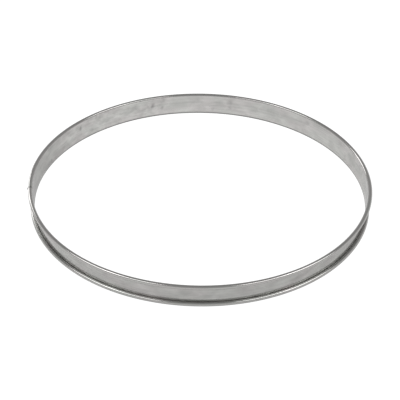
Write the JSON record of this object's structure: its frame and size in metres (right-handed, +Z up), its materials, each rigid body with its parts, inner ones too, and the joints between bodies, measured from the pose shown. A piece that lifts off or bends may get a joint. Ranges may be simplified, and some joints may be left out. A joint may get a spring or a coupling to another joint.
{
  "type": "tart ring",
  "caption": "Open round stainless steel ring for baking tarts, with a smooth wall that narrows slightly to the foot and both edges rolled outwards into beads.",
  "frame": {"origin": "centre of the circle that the foot bead stands on", "axes": "+Z up along the ring's axis; -Y towards the viewer in the picture; +X to the viewer's right"},
  "size_m": [0.2868, 0.2868, 0.02],
  "materials": {
    "stainless_steel": "fine brush lines around the wall, smoother beads, faint handling marks"
  },
  "bodies": {
    "root": {"tart_ring": "stainless_steel"}
  },
  "joints": []
}
